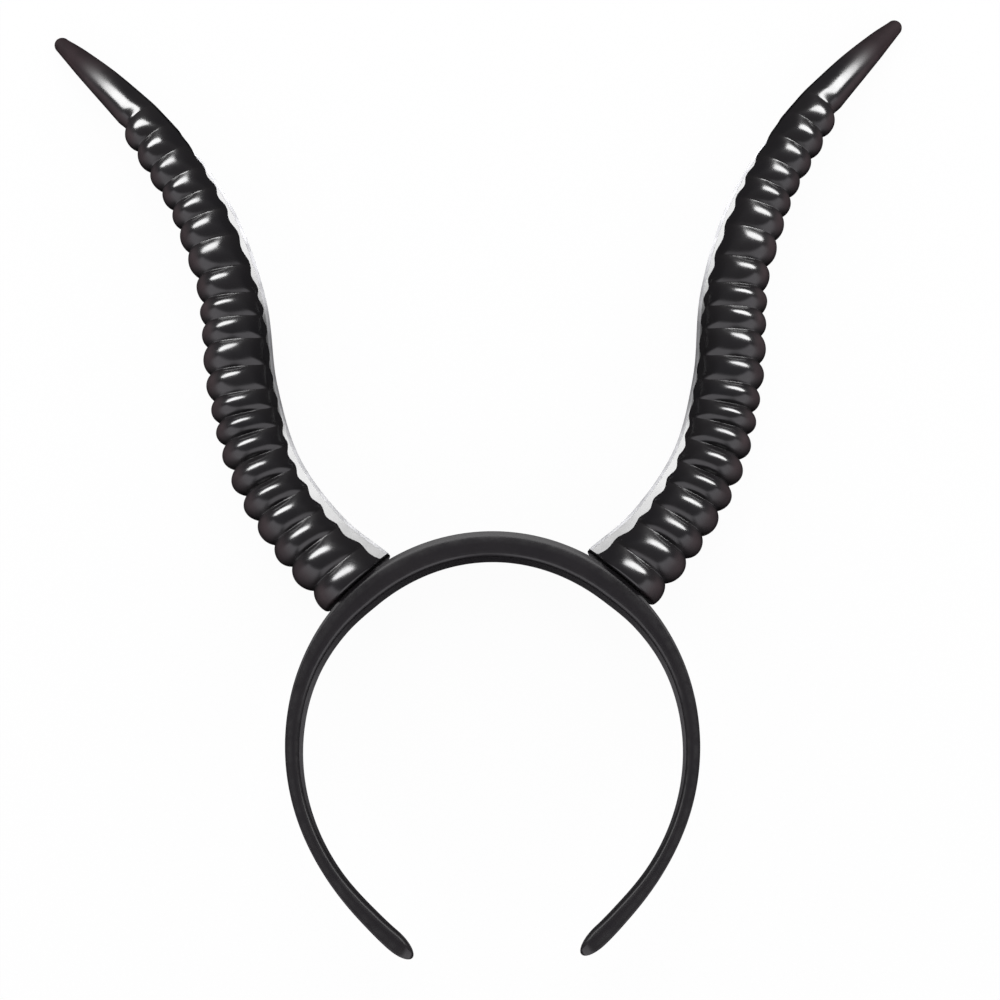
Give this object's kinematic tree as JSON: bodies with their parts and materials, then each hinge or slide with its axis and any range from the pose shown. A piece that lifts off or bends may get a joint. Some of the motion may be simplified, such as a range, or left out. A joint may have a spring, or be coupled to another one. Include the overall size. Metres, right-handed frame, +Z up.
{
  "type": "antelope horn headband",
  "caption": "Black plastic headband that carries a pair of long, glossy, ringed antelope horns, lying on its back.",
  "frame": {"origin": "under the middle of the whole piece, on the surface that it lies on", "axes": "+Z is up, towards the front of the headband, +Y runs from the loop's mouth to the horns' tips, and +X is to the right of someone who looks at the front"},
  "size_m": [0.2694, 0.2894, 0.035],
  "materials": {
    "band_plastic": "satin black moulded plastic with a fine grain and softly rounded edges",
    "horn_plastic": "high gloss black moulded plastic with faint waviness"
  },
  "bodies": {
    "root": {"headband": "band_plastic", "horn_left": "horn_plastic", "horn_right": "horn_plastic"}
  },
  "joints": []
}
